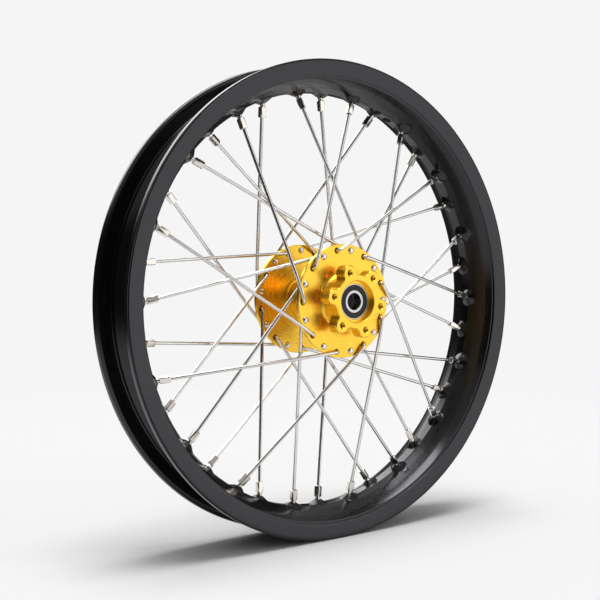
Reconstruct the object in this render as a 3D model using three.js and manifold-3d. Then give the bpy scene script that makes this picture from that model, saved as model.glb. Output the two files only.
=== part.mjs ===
// Spoked wheel for a light motorcycle: a 16 x 1.85 inch drilled rim, a two-flange hub with a six-lug
// disc mount, 36 bent spokes laced three-cross, and two sealed bearings on a spacer tube.
// Millimetres, +Z up. The origin is the centre of the wheel and the wheel spins about Y.
// The disc side faces -Y. Angles are measured in the XZ plane from +X towards +Z.

import * as THREE from 'three';
import { mergeVertices } from 'three/addons/utils/BufferGeometryUtils.js';
import Module from 'manifold-3d';

const wasm = await Module();
wasm.setup();

// ---- Driving dimensions -------------------------------------------------------------------

const CLEARANCE = 0.3; // gap kept between pieces that touch

const RIM = {
  edgeRadius: 216.8, // bead seat 202.8 plus a 14 mm flange
  halfWidth: 31,
  edgeChamfer: 1,
  lipInnerHalfWidth: 28.4, // inner edge of the rounded lip
  flangeTop: { radius: 213.2, halfWidth: 25.3 }, // where the flange's wall meets the lip
  flangeRootHalfWidth: 23.5, // 47 mm, or 1.85 inch, between the flanges
  beadSeatRadius: 202.8,
  beadSeatInnerHalfWidth: 15.5,
  beadSeatRise: 0.4, // the seat climbs this much towards its flange
  wellRadius: 193.6,
  wellHalfWidth: 8.5,
  innerRadius: 190, // smallest radius of the wall between the dimples
  innerFlatHalfWidth: 4.5,
  wellKnee: { radius: 192.6, halfWidth: 11.5 }, // breaks in the wall beside the well
  shoulder: { radius: 196.7, halfWidth: 20.8 },
  sideFaceInnerRadius: 201.1,
  sideFaceInnerHalfWidth: 28.7,
  segments: 60,
};

const DIMPLE = { height: 3, footDepth: 1.4, baseRadius: 8.4, topRadius: 4.6, sides: 6 };
// Where the spoke lines cross the rim, equally spaced but turned a little from the hub's holes.
const RIM_HOLES = { radius: 191, phase: -0.55 };
const VALVE_HOLE = { angle: 65, radius: 4.1 };
const LOCK_HOLE = { angle: 265, radius: 4.1 };
const CUT_OVERRUN = 6; // how far a cutting rod stands out of the piece that it cuts

const HUB = {
  halfLength: 54,
  endSplitY: 42, // the hub's ends are stored apart from its middle beyond here
  flangeRadius: 51.35,
  flangeOuterY: 34.3,
  flangeThickness: 4,
  spokeCircleRadius: 46.2,
  spokeHoleRadius: 2.2,
  bossRadius: 24.4, // boss on the outer side of a flange
  bossFootRadius: 28,
  bossFootDepth: 4,
  bossDepth: 8.6,
  innerBossRadius: 21.3, // boss on the inner side, which steps down to the barrel
  innerBossFootRadius: 22.8,
  innerBossFootDepth: 1.5,
  innerBossDepth: 4.8,
  innerBossTaper: 0.8,
  barrelRadius: 19.5,
  plainEndRadius: 22.5,
  counterboreRadius: 18.65,
  counterboreDepth: 4.6,
  tubeRadius: 12.6, // bore between the bearings
  segments: 36,
};

const DISC_MOUNT = {
  lugs: 6,
  firstAngle: -10.4,
  holeCircleRadius: 27.05,
  holeRadius: 2.5, // tapped M6
  holeDepth: 14, // right through a lug
  holeSides: 10,
  lugRadius: 7,
  lugArc: 200, // degrees of each lug's round end
  webRadius: 24.2,
  webShare: 0.24, // share of the angle between two lugs that the web's arc takes
  depth: 11.5,
};

const BEARING = {
  bore: 15,
  outerDiameter: 32,
  width: 9,
  innerFaceY: 40,
  innerRingRadius: 10.1,
  outerRingRadius: 13.6, // land of the outer ring
  sealSeatRadius: 14.9,
  sealDepth: 1.1,
  sealInset: 0.1, // a seal's face lies this far below the ring's
  ballCircleRadius: 11.75,
  ballRadius: 2.1,
  ballCount: 9,
  grooveHalfWidth: 2,
  grooveDepth: 0.9,
  cageHalfWidth: 1.2,
  cageHalfThickness: 0.5,
  segments: 20,
};

const SPACER_RADIUS = 9.8;

const SPOKE = {
  count: 36,
  radius: 1.5,
  headRadius: 2.95,
  headHeight: 1.5,
  bendRadius: 2.6,
  outerStandOff: 4.9, // an outer spoke leaves its hole this far off the face, to clear the flange's edge
  crossAngle: 60, // a spoke leads or trails its hub hole by this much at the rim
  sides: 6,
};

const NIPPLE = {
  radius: 2.9,
  driveEndRadius: 175.4, // distance of its hub end from the wheel's axis
  seatRadius: 194.7, // where its head begins, just above the slope of the well
  headRadius: 4,
  headHeight: 2.4,
  headTaper: 0.8,
  sides: 6,
};

const NIPPLE_HOLE_RADIUS = NIPPLE.radius + 1.5 * CLEARANCE;

// ---- Materials ----------------------------------------------------------------------------

const finishes = {
  blackAnodised: { color: 0x434346, roughness: 0.45, metalness: 0.6 },
  goldAnodised: { color: 0xf2b01e, roughness: 0.38, metalness: 0.75 },
  stainless: { color: 0xd9d6d2, roughness: 0.22, metalness: 1 },
  bearingSteel: { color: 0xcfcac8, roughness: 0.25, metalness: 1 },
  blackRubber: { color: 0x2c292b, roughness: 0.7, metalness: 0 },
  bareAluminium: { color: 0xb9bbbd, roughness: 0.4, metalness: 1 },
};

// ---- Helpers ------------------------------------------------------------------------------

const radians = THREE.MathUtils.degToRad;

/** Point at a radius and angle in the XZ plane, at height y along the axle. */
function polar(radius, angle, y) {
  return new THREE.Vector3(radius * Math.cos(radians(angle)), y, radius * Math.sin(radians(angle)));
}

/** Closed geometry to manifold solid. */
function toSolid(geometry) {
  const bare = geometry.clone();
  bare.deleteAttribute('normal');
  bare.deleteAttribute('uv');
  const merged = mergeVertices(bare, 1e-4);
  return new wasm.Manifold(new wasm.Mesh({
    numProp: 3,
    vertProperties: new Float32Array(merged.attributes.position.array),
    triVerts: new Uint32Array(merged.index.array),
  }));
}

/** Manifold solid to geometry. */
function toGeometry(solid) {
  const mesh = solid.getMesh();
  const geometry = new THREE.BufferGeometry();
  geometry.setAttribute('position', new THREE.BufferAttribute(mesh.vertProperties, 3));
  geometry.setIndex(new THREE.BufferAttribute(mesh.triVerts, 1));
  return geometry;
}

/** Solid of revolution about Y from [radius, y] corners listed anticlockwise (y up, radius right). */
function revolve(corners, segments) {
  const points = corners.map(([radius, y]) => new THREE.Vector2(radius, y));
  points.push(points[0].clone());
  return new THREE.LatheGeometry(points, segments);
}

/** Cylinder between two points. */
function rod(start, end, radius, sides) {
  const along = end.clone().sub(start);
  const geometry = new THREE.CylinderGeometry(radius, radius, along.length(), sides);
  const turn = new THREE.Quaternion().setFromUnitVectors(new THREE.Vector3(0, 1, 0), along.clone().normalize());
  geometry.applyQuaternion(turn);
  const middle = start.clone().add(end).multiplyScalar(0.5);
  geometry.translate(middle.x, middle.y, middle.z);
  return geometry;
}

/** Solid of revolution about the line from start to end, from [distance along, radius] stations. */
function turned(start, end, stations, sides) {
  const points = stations.map(([distance, radius]) => new THREE.Vector2(radius, distance));
  const geometry = new THREE.LatheGeometry(points, sides);
  const along = end.clone().sub(start).normalize();
  geometry.applyQuaternion(new THREE.Quaternion().setFromUnitVectors(new THREE.Vector3(0, 1, 0), along));
  geometry.translate(start.x, start.y, start.z);
  return geometry;
}

/** Joins solids in pairs. */
function joinAll(solids) {
  return solids.reduce((whole, piece) => whole.add(piece));
}

const wheel = new THREE.Group();
wheel.name = 'spoked_wheel';

/** Adds a named mesh with a material of its own. */
function addPiece(name, geometry, finish) {
  const mesh = new THREE.Mesh(geometry, new THREE.MeshStandardMaterial(finish));
  mesh.name = name;
  wheel.add(mesh);
}

// ---- Lacing -------------------------------------------------------------------------------

// Four sets of nine spokes. side is -1 on the disc side. outside is true where the wire lies on the
// outer face of its flange, with its head on the inner face.
// lean is the way it turns from its hub hole to its rim hole, and rimOffsetY is how far that hole stands
// from the centre plane.
const SPOKE_SETS = [
  { name: 'disc_side_outer', side: -1, outside: true, firstHubAngle: 20, lean: -1, rimOffsetY: 2.8 },
  { name: 'disc_side_inner', side: -1, outside: false, firstHubAngle: 0, lean: 1, rimOffsetY: 3.9 },
  { name: 'plain_side_inner', side: 1, outside: false, firstHubAngle: 30, lean: 1, rimOffsetY: 3.9 },
  { name: 'plain_side_outer', side: 1, outside: true, firstHubAngle: 10, lean: -1, rimOffsetY: 2.8 },
];
const SPOKES_PER_SET = SPOKE.count / SPOKE_SETS.length;
const HUB_HOLE_STEP = 360 / SPOKES_PER_SET;

/** Where one spoke runs: elbow at the hub, nipple end, and where its nipple meets the rim's well. */
function spokeRun(set, index) {
  const hubAngle = set.firstHubAngle + index * HUB_HOLE_STEP;
  const rimAngle = hubAngle + set.lean * SPOKE.crossAngle + RIM_HOLES.phase;
  const flangeFace = HUB.flangeOuterY - (set.outside ? 0 : HUB.flangeThickness);
  const wireOffset = set.outside ? SPOKE.outerStandOff : -SPOKE.radius - CLEARANCE;
  const wireY = set.side * (flangeFace + wireOffset);
  const headFace = HUB.flangeOuterY - (set.outside ? HUB.flangeThickness : 0);
  const headY = set.side * (headFace + (set.outside ? -CLEARANCE : CLEARANCE));
  const elbow = polar(HUB.spokeCircleRadius, hubAngle, wireY);
  const rimHole = polar(RIM_HOLES.radius, rimAngle, set.side * set.rimOffsetY);
  const along = rimHole.clone().sub(elbow).normalize();
  const nippleEnd = pointAtRadius(elbow, along, NIPPLE.driveEndRadius);
  const seat = pointAtRadius(nippleEnd, along, NIPPLE.seatRadius);
  return { hubAngle, elbow, nippleEnd, seat, along, headY };
}

/** Where a line that leaves a point along a direction reaches a radius from the axle. */
function pointAtRadius(point, along, radius) {
  const a = along.x ** 2 + along.z ** 2;
  const b = 2 * (point.x * along.x + point.z * along.z);
  const c = point.x ** 2 + point.z ** 2 - radius ** 2;
  const distance = (-b + Math.sqrt(b * b - 4 * a * c)) / (2 * a);
  return point.clone().addScaledVector(along, distance);
}

const SPOKE_RUNS = SPOKE_SETS.flatMap((set) => Array.from({ length: SPOKES_PER_SET }, (_, index) => ({
  ...spokeRun(set, index),
  side: set.side,
  name: `spoke_${set.name}_${index + 1}`,
})));

// ---- Rim ----------------------------------------------------------------------------------

/** Half of the rim's section, from the middle of the well out over the flange and back inside. */
function rimHalfSection() {
  return [
    [RIM.wellRadius, RIM.wellHalfWidth],
    [RIM.beadSeatRadius - RIM.beadSeatRise, RIM.beadSeatInnerHalfWidth],
    [RIM.beadSeatRadius, RIM.flangeRootHalfWidth],
    [RIM.flangeTop.radius, RIM.flangeTop.halfWidth],
    [RIM.edgeRadius, RIM.lipInnerHalfWidth],
    [RIM.edgeRadius - RIM.edgeChamfer, RIM.halfWidth],
    [RIM.sideFaceInnerRadius, RIM.sideFaceInnerHalfWidth],
    [RIM.shoulder.radius, RIM.shoulder.halfWidth],
    [RIM.wellKnee.radius, RIM.wellKnee.halfWidth],
    [RIM.innerRadius, RIM.innerFlatHalfWidth],
  ];
}

function makeRim() {
  const half = rimHalfSection();
  const mirrored = half.map(([radius, y]) => [radius, -y]).reverse();
  let rim = toSolid(revolve([...mirrored, ...half], RIM.segments));

  const dimples = SPOKE_RUNS.map((run) => {
    const foot = pointAtRadius(run.nippleEnd, run.along, RIM.innerRadius + DIMPLE.footDepth);
    const top = pointAtRadius(run.nippleEnd, run.along, RIM.innerRadius - DIMPLE.height);
    const height = foot.distanceTo(top);
    const stations = [[0, 0], [0, DIMPLE.baseRadius], [height, DIMPLE.topRadius], [height, 0]];
    return toSolid(turned(foot, top, stations, DIMPLE.sides));
  });
  rim = rim.add(joinAll(dimples));

  const holes = SPOKE_RUNS.map((run) => {
    const beyond = run.seat.clone().addScaledVector(run.along, NIPPLE.headHeight + CUT_OVERRUN);
    return toSolid(rod(run.nippleEnd, beyond, NIPPLE_HOLE_RADIUS, NIPPLE.sides));
  });
  for (const hole of [VALVE_HOLE, LOCK_HOLE]) {
    const inside = polar(RIM.innerRadius - CUT_OVERRUN, hole.angle, 0);
    const outside = polar(RIM.wellRadius + CUT_OVERRUN, hole.angle, 0);
    holes.push(toSolid(rod(inside, outside, hole.radius, 2 * NIPPLE.sides)));
  }
  rim = rim.subtract(joinAll(holes));
  addPiece('rim', toGeometry(rim), finishes.blackAnodised);
}

// ---- Hub ----------------------------------------------------------------------------------

/** Section of the hub body as [radius, y] corners, disc side first. */
function hubSection() {
  const seatRadius = BEARING.outerDiameter / 2 + CLEARANCE;
  const seatEndY = BEARING.innerFaceY - CLEARANCE;
  const ledgeY = HUB.halfLength - HUB.counterboreDepth;
  const flangeInnerY = HUB.flangeOuterY - HUB.flangeThickness;
  const discMountBackY = HUB.halfLength - DISC_MOUNT.depth;

  const bore = [
    [HUB.tubeRadius, seatEndY],
    [seatRadius, seatEndY],
    [seatRadius, ledgeY],
    [HUB.counterboreRadius, ledgeY],
    [HUB.counterboreRadius, HUB.halfLength],
  ];
  const discEnd = [
    [DISC_MOUNT.webRadius - CLEARANCE, HUB.halfLength],
    [DISC_MOUNT.webRadius - CLEARANCE, discMountBackY],
    [HUB.bossRadius, discMountBackY],
  ];
  const plainEnd = [
    [HUB.plainEndRadius, HUB.halfLength],
    [HUB.plainEndRadius, HUB.flangeOuterY + HUB.bossDepth],
    [HUB.bossRadius, HUB.flangeOuterY + HUB.bossDepth],
  ];
  const flange = [
    [HUB.bossRadius, HUB.flangeOuterY + HUB.bossFootDepth],
    [HUB.bossFootRadius, HUB.flangeOuterY],
    [HUB.flangeRadius, HUB.flangeOuterY],
    [HUB.flangeRadius, flangeInnerY],
    [HUB.innerBossFootRadius, flangeInnerY],
    [HUB.innerBossRadius, flangeInnerY - HUB.innerBossFootDepth],
    [HUB.innerBossRadius, flangeInnerY - HUB.innerBossDepth],
    [HUB.barrelRadius, flangeInnerY - HUB.innerBossDepth - HUB.innerBossTaper],
  ];
  const discSide = [...bore, ...discEnd, ...flange].map(([radius, y]) => [radius, -y]);
  const plainSide = [...bore, ...plainEnd, ...flange].reverse();
  return [...discSide, ...plainSide];
}

/** Outline of the disc mount: round lugs joined by a round web. */
function discMountOutline() {
  const points = [];
  const addPoint = (centreAngle, centreRadius, turn, radius) => {
    const centre = polar(centreRadius, centreAngle, 0);
    const offset = polar(radius, centreAngle + turn, 0);
    points.push(new THREE.Vector2(centre.x + offset.x, centre.z + offset.z));
  };
  const step = 360 / DISC_MOUNT.lugs;
  const arcSteps = 8;
  for (let lug = 0; lug < DISC_MOUNT.lugs; lug += 1) {
    const angle = DISC_MOUNT.firstAngle + lug * step;
    for (let part = 0; part <= arcSteps; part += 1) {
      const turn = DISC_MOUNT.lugArc * (part / arcSteps - 0.5);
      addPoint(angle, DISC_MOUNT.holeCircleRadius, turn, DISC_MOUNT.lugRadius);
    }
    for (const share of [-0.5, 0.5]) {
      addPoint(angle + step * (0.5 + share * DISC_MOUNT.webShare), 0, 0, DISC_MOUNT.webRadius);
    }
  }
  return new THREE.Shape(points);
}

/** The hub, stored as its middle and its two ends, so that each bearing recess stays open to collision. */
function makeHub() {
  let hub = toSolid(revolve(hubSection(), HUB.segments));

  const plate = new THREE.ExtrudeGeometry(discMountOutline(), { depth: DISC_MOUNT.depth, bevelEnabled: false });
  plate.rotateX(Math.PI / 2);
  plate.translate(0, DISC_MOUNT.depth - HUB.halfLength, 0);
  const middleRadius = (HUB.counterboreRadius + DISC_MOUNT.webRadius) / 2; // within the hub body's own wall
  const opening = toSolid(rod(
    polar(0, 0, -HUB.halfLength - CUT_OVERRUN), polar(0, 0, -HUB.flangeOuterY), middleRadius, HUB.segments));
  hub = hub.add(toSolid(plate).subtract(opening));

  const cuts = SPOKE_RUNS.map((run) => {
    const flangeMiddleY = run.side * (HUB.flangeOuterY - HUB.flangeThickness / 2);
    const from = polar(HUB.spokeCircleRadius, run.hubAngle, flangeMiddleY - HUB.flangeThickness);
    const to = polar(HUB.spokeCircleRadius, run.hubAngle, flangeMiddleY + HUB.flangeThickness);
    return toSolid(rod(from, to, HUB.spokeHoleRadius, SPOKE.sides));
  });
  for (let lug = 0; lug < DISC_MOUNT.lugs; lug += 1) {
    const angle = DISC_MOUNT.firstAngle + (lug * 360) / DISC_MOUNT.lugs;
    const from = polar(DISC_MOUNT.holeCircleRadius, angle, -HUB.halfLength - CUT_OVERRUN);
    const to = polar(DISC_MOUNT.holeCircleRadius, angle, DISC_MOUNT.holeDepth - HUB.halfLength);
    cuts.push(toSolid(rod(from, to, DISC_MOUNT.holeRadius, DISC_MOUNT.holeSides)));
  }
  hub = hub.subtract(joinAll(cuts));

  const endY = HUB.halfLength + CUT_OVERRUN;
  const sections = [
    { name: 'hub_disc_mount', fromY: -endY, toY: -HUB.endSplitY },
    { name: 'hub_shell', fromY: -HUB.endSplitY, toY: HUB.endSplitY },
    { name: 'hub_plain_end', fromY: HUB.endSplitY, toY: endY },
  ];
  for (const { name, fromY, toY } of sections) {
    const reach = HUB.flangeRadius + CUT_OVERRUN;
    const slab = toSolid(rod(polar(0, 0, fromY), polar(0, 0, toY), reach, HUB.segments));
    addPiece(name, toGeometry(hub.intersect(slab)), finishes.goldAnodised);
  }
}

// ---- Spokes -------------------------------------------------------------------------------

/** Centre line of a spoke: through the flange, round the elbow, then straight to its nipple. */
class SpokeLine extends THREE.Curve {
  constructor(run) {
    super();
    const { elbow, along, nippleEnd, headY } = run;
    const inwards = new THREE.Vector3(0, Math.sign(elbow.y - headY), 0);
    const head = new THREE.Vector3(elbow.x, headY, elbow.z);
    const bendStart = elbow.clone().addScaledVector(inwards, -SPOKE.bendRadius);
    const bendEnd = elbow.clone().addScaledVector(along, SPOKE.bendRadius);
    const bendMiddle = bendStart.clone().add(bendEnd).multiplyScalar(0.25).addScaledVector(elbow, 0.5);
    const end = nippleEnd.clone().addScaledVector(along, SPOKE.radius); // inside its nipple
    this.corners = [head, bendStart, bendMiddle, bendEnd, end];
  }

  getPoint(t, target = new THREE.Vector3()) {
    const place = t * (this.corners.length - 1);
    const index = Math.min(Math.floor(place), this.corners.length - 2);
    return target.lerpVectors(this.corners[index], this.corners[index + 1], place - index);
  }

  getPointAt(u, target) {
    return this.getPoint(u, target);
  }

  getTangentAt(u) {
    const reach = 0.5 / (this.corners.length - 1);
    const before = this.getPoint(Math.max(u - reach, 0));
    const after = this.getPoint(Math.min(u + reach, 1));
    const behind = this.getPoint(u).sub(before).normalize();
    const ahead = after.sub(this.getPoint(u)).normalize();
    return behind.add(ahead).normalize();
  }
}

function makeSpoke(run) {
  const section = new THREE.Shape();
  const corners = Array.from({ length: SPOKE.sides }, (_, corner) => {
    const turn = (corner * 2 * Math.PI) / SPOKE.sides;
    return new THREE.Vector2(SPOKE.radius * Math.cos(turn), SPOKE.radius * Math.sin(turn));
  });
  section.setFromPoints(corners);
  const line = new SpokeLine(run);
  const wire = new THREE.ExtrudeGeometry(section, { steps: line.corners.length - 1, extrudePath: line });

  const outwards = new THREE.Vector3(0, Math.sign(line.corners[0].y - run.elbow.y), 0);
  const headBase = line.corners[0];
  const headStations = [
    [0, 0],
    [0, SPOKE.headRadius],
    [SPOKE.headHeight / 2, SPOKE.headRadius * Math.cos(Math.PI / 6)], // halfway up a round dome
    [SPOKE.headHeight, 0],
  ];
  const head = turned(headBase, headBase.clone().add(outwards), headStations, SPOKE.sides);

  const seatDistance = run.nippleEnd.distanceTo(run.seat);
  const nippleStations = [
    [0, 0],
    [0, NIPPLE.radius],
    [seatDistance, NIPPLE.radius],
    [seatDistance + NIPPLE.headTaper, NIPPLE.headRadius],
    [seatDistance + NIPPLE.headHeight, NIPPLE.headRadius],
    [seatDistance + NIPPLE.headHeight, 0],
  ];
  const nipple = turned(run.nippleEnd, run.seat, nippleStations, NIPPLE.sides);
  const solid = joinAll([toSolid(wire), toSolid(head), toSolid(nipple)]);
  addPiece(run.name, toGeometry(solid), finishes.stainless);
}

// ---- Bearings -----------------------------------------------------------------------------

function makeOuterRing(name, middleY) {
  const half = BEARING.width / 2;
  const lip = half - BEARING.sealDepth;
  const { outerRingRadius, sealSeatRadius, grooveHalfWidth, grooveDepth } = BEARING;
  const inner = [
    [sealSeatRadius, half],
    [sealSeatRadius, lip],
    [outerRingRadius, lip],
    [outerRingRadius, grooveHalfWidth],
    [outerRingRadius + grooveDepth, 0],
    [outerRingRadius, -grooveHalfWidth],
    [outerRingRadius, -lip],
    [sealSeatRadius, -lip],
    [sealSeatRadius, -half],
  ];
  const corners = [[BEARING.outerDiameter / 2, -half], [BEARING.outerDiameter / 2, half], ...inner];
  const ring = revolve(corners, BEARING.segments);
  ring.translate(0, middleY, 0);
  addPiece(name, ring, finishes.bearingSteel);
}

function makeInnerRing(name, middleY) {
  const half = BEARING.width / 2;
  const { innerRingRadius, grooveHalfWidth, grooveDepth } = BEARING;
  const corners = [
    [innerRingRadius, -half],
    [innerRingRadius, -grooveHalfWidth],
    [innerRingRadius - grooveDepth, 0],
    [innerRingRadius, grooveHalfWidth],
    [innerRingRadius, half],
    [BEARING.bore / 2, half],
    [BEARING.bore / 2, -half],
  ];
  const ring = revolve(corners, BEARING.segments);
  ring.translate(0, middleY, 0);
  addPiece(name, ring, finishes.bearingSteel);
}

/** The balls and the cage that spaces them, as one turning set. */
function makeBallSet(name, middleY) {
  const cageInner = BEARING.ballCircleRadius - BEARING.cageHalfThickness;
  const cageOuter = BEARING.ballCircleRadius + BEARING.cageHalfThickness;
  const half = BEARING.cageHalfWidth;
  const cageSection = [[cageInner, -half], [cageOuter, -half], [cageOuter, half], [cageInner, half]];
  const cage = revolve(cageSection, BEARING.ballCount);
  const pieces = [toSolid(cage)];
  for (let ball = 0; ball < BEARING.ballCount; ball += 1) {
    const sphere = new THREE.SphereGeometry(BEARING.ballRadius, 6, 4);
    const place = polar(BEARING.ballCircleRadius, 90 + (ball * 360) / BEARING.ballCount, 0);
    sphere.translate(place.x, place.y, place.z);
    pieces.push(toSolid(sphere));
  }
  const geometry = toGeometry(joinAll(pieces));
  geometry.translate(0, middleY, 0);
  addPiece(name, geometry, finishes.bearingSteel);
}

function makeSeal(name, middleY, side) {
  const half = BEARING.width / 2;
  const near = half - BEARING.sealDepth + CLEARANCE;
  const far = half - BEARING.sealInset;
  const inner = BEARING.innerRingRadius + CLEARANCE;
  const outer = BEARING.sealSeatRadius - CLEARANCE;
  const seal = revolve([[inner, near], [outer, near], [outer, far], [inner, far]], BEARING.segments);
  if (side < 0) {
    seal.rotateX(Math.PI);
  }
  seal.translate(0, middleY, 0);
  addPiece(name, seal, finishes.blackRubber);
}

function makeBearing(side, sideName) {
  const middleY = side * (BEARING.innerFaceY + BEARING.width / 2);
  makeOuterRing(`${sideName}_bearing_outer_ring`, middleY);
  makeInnerRing(`${sideName}_bearing_inner_ring`, middleY);
  makeBallSet(`${sideName}_bearing_ball_set`, middleY);
  makeSeal(`${sideName}_bearing_outer_seal`, middleY, side);
  makeSeal(`${sideName}_bearing_inner_seal`, middleY, -side);
}

/** Tube that holds the two inner rings apart when the axle is tightened. */
function makeSpacer() {
  const halfLength = BEARING.innerFaceY - CLEARANCE;
  const innerRadius = BEARING.bore / 2;
  const corners = [
    [innerRadius, -halfLength],
    [SPACER_RADIUS, -halfLength],
    [SPACER_RADIUS, halfLength],
    [innerRadius, halfLength],
  ];
  addPiece('bearing_spacer_tube', revolve(corners, BEARING.segments), finishes.bareAluminium);
}

// ---- Assembly -----------------------------------------------------------------------------

makeRim();
makeHub();
SPOKE_RUNS.forEach(makeSpoke);
makeBearing(-1, 'disc_side');
makeBearing(1, 'plain_side');
makeSpacer();

export default wheel;
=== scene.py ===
"""Looks of a spoked motorcycle wheel: black rim, 36 laced wire spokes, gold hub and two sealed bearings."""
import math

import bmesh
import bpy
from mathutils import Matrix, Vector


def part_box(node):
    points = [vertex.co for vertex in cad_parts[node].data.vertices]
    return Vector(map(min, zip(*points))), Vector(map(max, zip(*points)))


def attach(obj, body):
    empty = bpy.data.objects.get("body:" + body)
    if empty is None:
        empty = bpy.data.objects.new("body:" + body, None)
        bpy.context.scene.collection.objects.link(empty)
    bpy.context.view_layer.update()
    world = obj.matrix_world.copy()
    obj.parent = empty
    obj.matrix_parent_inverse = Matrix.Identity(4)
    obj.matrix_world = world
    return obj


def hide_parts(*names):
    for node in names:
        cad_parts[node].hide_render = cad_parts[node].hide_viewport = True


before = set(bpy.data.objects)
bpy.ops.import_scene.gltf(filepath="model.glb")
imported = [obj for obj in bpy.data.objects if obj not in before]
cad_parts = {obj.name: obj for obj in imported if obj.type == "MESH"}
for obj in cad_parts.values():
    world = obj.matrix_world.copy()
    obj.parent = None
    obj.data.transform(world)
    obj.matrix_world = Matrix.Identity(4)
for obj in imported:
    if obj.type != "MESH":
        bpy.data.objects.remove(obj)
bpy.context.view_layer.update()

# ---- Sizes --------------------------------------------------------------------------------------

# Lengths of the wheel are in millimetres, and angles are in degrees.
MM = 0.001  # metres in a millimetre

RIM_LOW, RIM_HIGH = (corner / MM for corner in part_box("rim"))
HUB_FLANGE_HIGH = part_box("hub_shell")[1] / MM
RIM_EDGE = RIM_HIGH.z
RIM_HALF = RIM_HIGH.y
RIM_UNDERSIDE = 190.0  # smallest radius of the wall, on its side towards the hub, between the dimples
WELL_FLOOR = 193.6
BEAD_SEAT = 202.8
BEAD_SEAT_END = 23.5  # y where the bead seat meets the flange
BEAD_RIDGE = 0.6  # height of the ridge on the inner side of each bead seat
LIP_ROUNDING = 6.4
KNURL_START, KNURL_END = 19.2, 22.4
KNURL_COUNT = 480

HUB_HALF = 54.0
FLANGE_RADIUS = HUB_FLANGE_HIGH.x
FLANGE_FACE = 34.3
FLANGE_THICKNESS = 4.0
FLANGE_INNER_FACE = FLANGE_FACE - FLANGE_THICKNESS
COLLAR_RADIUS = 24.6
COLLAR_FACE = 42.5
INNER_BOSS_RADIUS = 21.4
INNER_BOSS_END = 25.6
BARREL_RADIUS = 19.5
PLAIN_END_RADIUS = 22.5
COUNTERBORE = 18.65
LEDGE = 49.4
SEAT_RADIUS = 16.04
SEAT_START = 39.8
TUBE_BORE = 12.6
HUB_HOLE_CIRCLE = 46.2

LUG_COUNT = 6
LUG_FIRST_ANGLE = -10.4
LUG_CIRCLE = 27.05
LUG_RADIUS = 7.0
LUG_WEB = 24.2
LUG_FILLET = 5.5
LUG_DEPTH = 11.5

WIRE_RADIUS = 1.5
BEND_RADIUS = 2.6
OUTER_STAND_OFF = 4.9
INNER_STAND_OFF = 1.8
ELBOW_STAND_OFF = 2.7  # of the outer wires' elbows, which bed down on the flange
FLANGE_EDGE_RUN = 16.0  # length of wire from its elbow to the flange's edge
HEAD_RADIUS = 2.9
CROSS_ANGLE = 60.0
RIM_HOLE_RADIUS = 191.0
RIM_HOLE_PHASE = -0.55
NIPPLE_END_RADIUS = 175.4

DIMPLE_HEIGHT = 3.8
DIMPLE_RADIUS = 8.6
WELL_DIMPLE_RADIUS = DIMPLE_RADIUS - 1.6
WELL_DIMPLE_DEPTH = 2.4
DIMPLE_SHARPNESS = 1.4
DIMPLED_HALF = 15.5  # the dimples stay within this y
DIMPLED_RADIUS = 199.0  # and nearer to the axle than this
HOLE_ANGLES = {"valve": 65.0, "rim_lock": 265.0}
SMALL_HOLE_RADIUS = 4.1
NIPPLE_HOLE_RADIUS = 2.85

# name, side of the wheel, wire outside its flange, first hub angle, way it leans, offset at the rim
SPOKE_SETS = (
    ("disc_side_outer", -1, True, 20.0, -1, 2.8),
    ("disc_side_inner", -1, False, 0.0, 1, 3.9),
    ("plain_side_inner", 1, False, 30.0, 1, 3.9),
    ("plain_side_outer", 1, True, 10.0, -1, 2.8),
)
SPOKES_PER_SET = 9

BEARING_MIDDLE = 44.5
BEARING_HALF = 4.5
BORE_RADIUS = 7.5
BALL_COUNT = 9
BALL_RADIUS = 2.3
BALL_CIRCLE = 11.75
INNER_LAND, OUTER_LAND = 10.1, 13.6  # radii of the rings' walls beside their ball tracks
SHARP_ANGLE = 32.0  # edges sharper than this stay sharp


# ---- Geometry helpers ---------------------------------------------------------------------------

def polar(radius, angle, y):
    """Point at a radius and an angle in degrees in the wheel's plane, at y along the axle."""
    turn = math.radians(angle)
    return Vector((radius * math.cos(turn), y, radius * math.sin(turn)))


def rounded_outline(corners, closed=True, step=12.0):
    """Outline through (radius, y, fillet) corners, with arcs for fillets. An arc's step is in degrees."""
    points = []
    count = len(corners)
    for index, (x, y, fillet) in enumerate(corners):
        here = Vector((x, y))
        ends = not closed and index in (0, count - 1)
        if fillet <= 0 or ends:
            points.append(here)
            continue
        before = Vector(corners[index - 1][:2]) - here
        after = Vector(corners[(index + 1) % count][:2]) - here
        angle = before.angle(after)
        reach = fillet / math.tan(angle / 2)
        reach = min(reach, 0.49 * before.length, 0.49 * after.length)
        radius = reach * math.tan(angle / 2)
        bisector = (before.normalized() + after.normalized()).normalized()
        centre = here + bisector * (radius / math.sin(angle / 2))
        start = here + before.normalized() * reach - centre
        sweep = math.pi - angle
        turn = math.copysign(sweep, before.x * after.y - before.y * after.x) * -1
        pieces = max(1, round(math.degrees(sweep) / step))
        for part in range(pieces + 1):
            points.append(centre + Matrix.Rotation(turn * part / pieces, 2) @ start)
    return points


def subdivided(points, longest):
    """Closed outline with extra points, so that no stretch is longer than longest(its ends) says."""
    fine = []
    for index, point in enumerate(points):
        following = points[(index + 1) % len(points)]
        pieces = max(1, math.ceil((following - point).length / longest(point, following)))
        fine.extend(point.lerp(following, part / pieces) for part in range(pieces))
    return fine


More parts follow.
